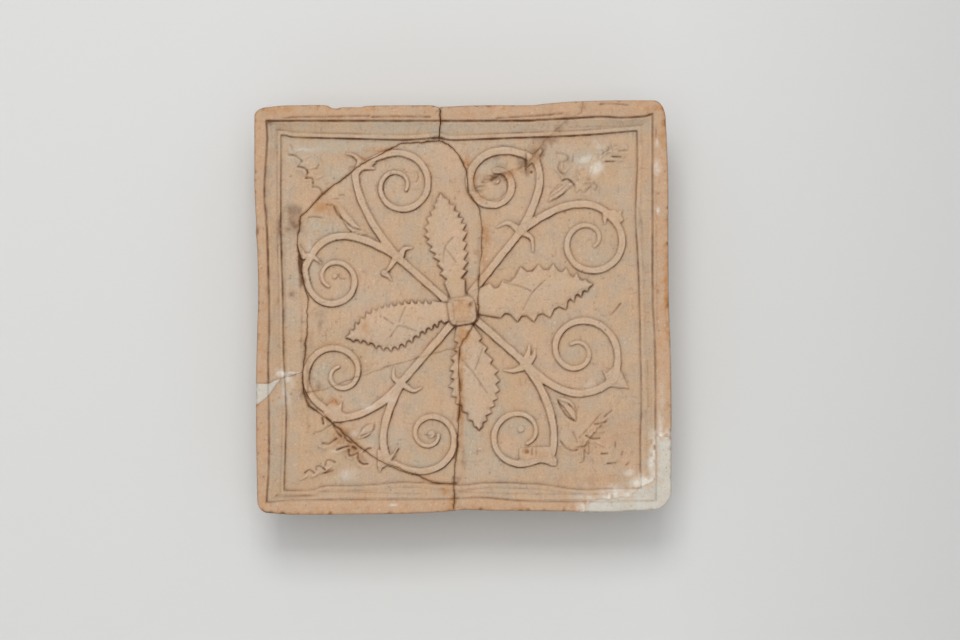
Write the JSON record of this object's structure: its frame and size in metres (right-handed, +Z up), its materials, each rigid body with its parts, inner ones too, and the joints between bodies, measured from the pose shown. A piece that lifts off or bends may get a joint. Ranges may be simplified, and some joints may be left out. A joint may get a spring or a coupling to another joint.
{
  "type": "stove tile",
  "caption": "Square relief stove tile of unglazed fired clay with scrolls, leaves and a moulded frame, a hollow collar behind, broken and mended with plaster.",
  "frame": {"origin": "middle of the lower wall of the collar, on its rear rim face, which is what bears on the stove's lining", "axes": "+Y out of the back of the tile along the collar, +Z up the face, +X to the right as seen from the front"},
  "size_m": [0.2215, 0.0616, 0.22],
  "materials": {
    "fired_clay": "unglazed fired clay, matt and a little sandy",
    "plaster": "smoothed white plaster, matt"
  },
  "bodies": {
    "root": {"sherd_top_left": "fired_clay", "sherd_bottom_left": "fired_clay", "sherd_centre_upper": "fired_clay", "sherd_centre_lower": "fired_clay", "sherd_top_right": "fired_clay", "sherd_right": "fired_clay", "plaster_corner": "plaster", "plaster_left_gap": "plaster"}
  },
  "joints": []
}
